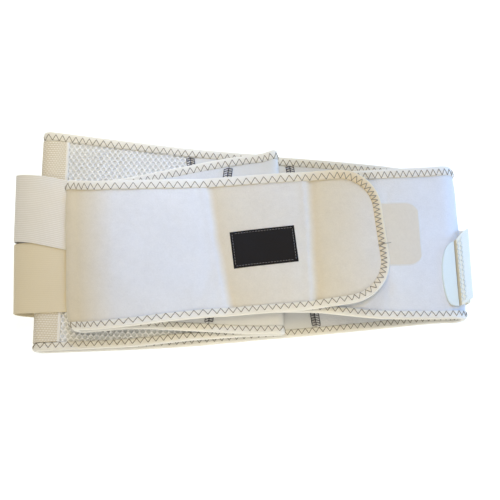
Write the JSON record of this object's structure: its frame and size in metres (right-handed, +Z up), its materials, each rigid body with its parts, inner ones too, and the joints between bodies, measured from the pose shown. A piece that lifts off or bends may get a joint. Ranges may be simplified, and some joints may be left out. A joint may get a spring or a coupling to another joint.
{
  "type": "belly band",
  "caption": "Soft maternity belly and back support band, folded flat: mesh back, elastic sides, long smooth wings, bound edges, lumbar straps with pull tabs.",
  "frame": {"origin": "middle of the folded band's footprint, on the surface that it lies on", "axes": "+X along the folded band towards the flap's free end, +Y towards the band's upper edge, +Z up"},
  "size_m": [0.4144, 0.204, 0.0493],
  "materials": {
    "mesh": "white spacer mesh with staggered holes",
    "tape": "cream ribbed tape",
    "elastic": "white elastic with fine ribs",
    "laminate": "smooth brushed white laminate",
    "binding": "off-white fold-over elastic with zigzag stitch",
    "strap": "cream ribbed elastic webbing",
    "tab": "thin white laminate tab",
    "label": "black woven label with a stitched border",
    "patch": "smooth cream loop fabric"
  },
  "bodies": {
    "root": {"back_mesh_panel": "mesh", "center_tape": "tape", "left_side_panel": "elastic", "right_side_panel": "elastic", "left_wing": "laminate", "right_wing": "laminate", "binding_back_top": "binding", "binding_back_bottom": "binding", "binding_left_side_top": "binding", "binding_left_side_bottom": "binding", "binding_right_side_top": "binding", "binding_right_side_bottom": "binding", "binding_left_wing": "binding", "binding_right_wing": "binding", "strap_upper": "strap", "strap_lower": "strap", "right_tab": "tab", "left_tab": "tab", "label_patch": "label", "fastener_patch": "patch"}
  },
  "joints": []
}
